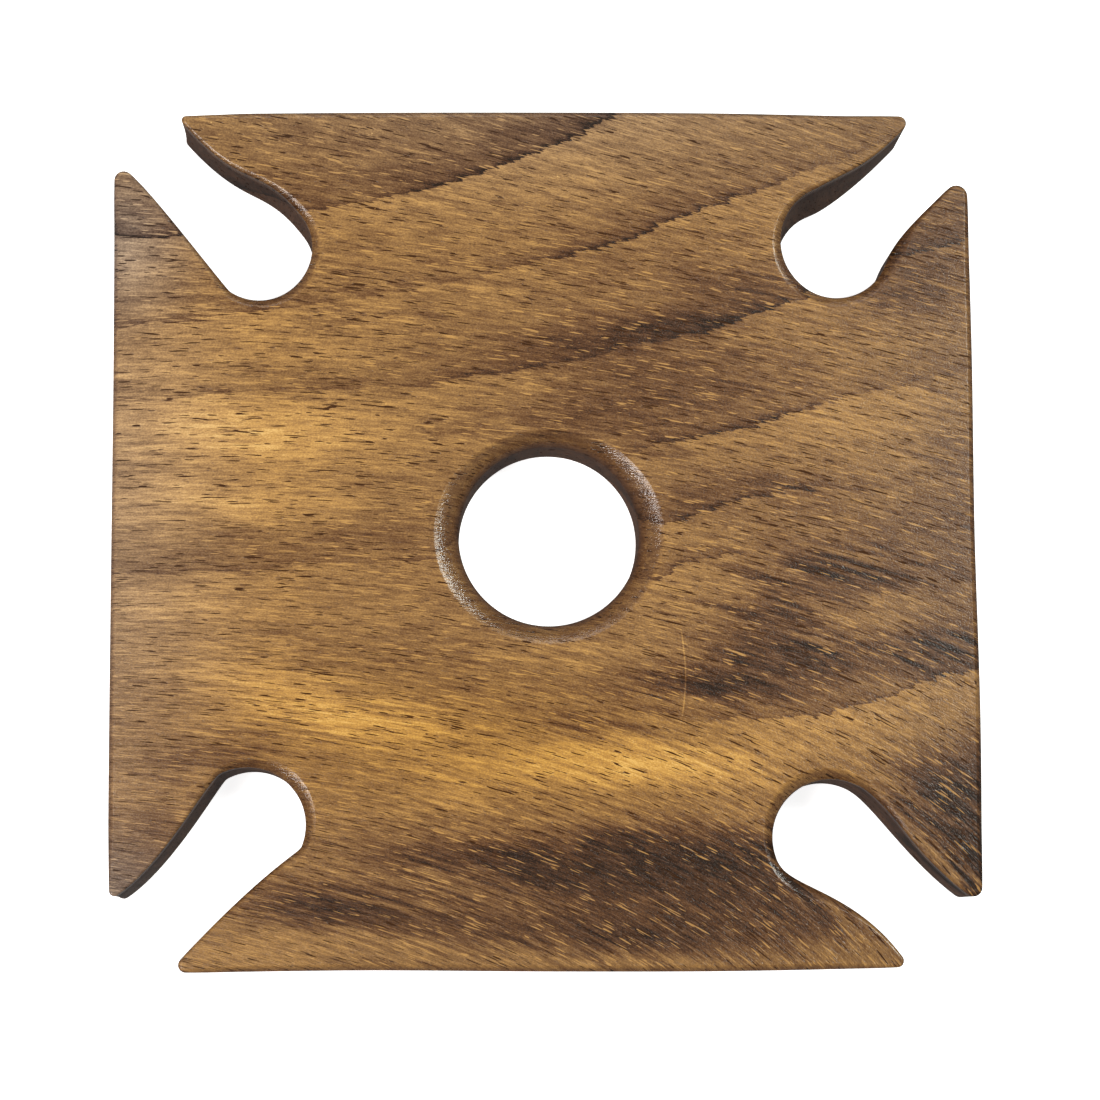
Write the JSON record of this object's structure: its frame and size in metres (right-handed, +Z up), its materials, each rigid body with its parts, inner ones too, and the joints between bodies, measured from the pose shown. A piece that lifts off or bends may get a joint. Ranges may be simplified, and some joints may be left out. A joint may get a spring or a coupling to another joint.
{
  "type": "wine caddy board",
  "caption": "Square hardwood board that drops over a bottle's neck through its centre hole and hangs stemmed glasses by their feet in open corner slots.",
  "frame": {"origin": "centre of the board's rectangle, on its flat underside", "axes": "+X to the board's right and +Y to its back as the top face is read, +Z up through the thickness"},
  "size_m": [0.184, 0.184, 0.019],
  "materials": {
    "oiled_hardwood": "oiled, satin"
  },
  "bodies": {
    "root": {"caddy_board": "oiled_hardwood"}
  },
  "joints": []
}
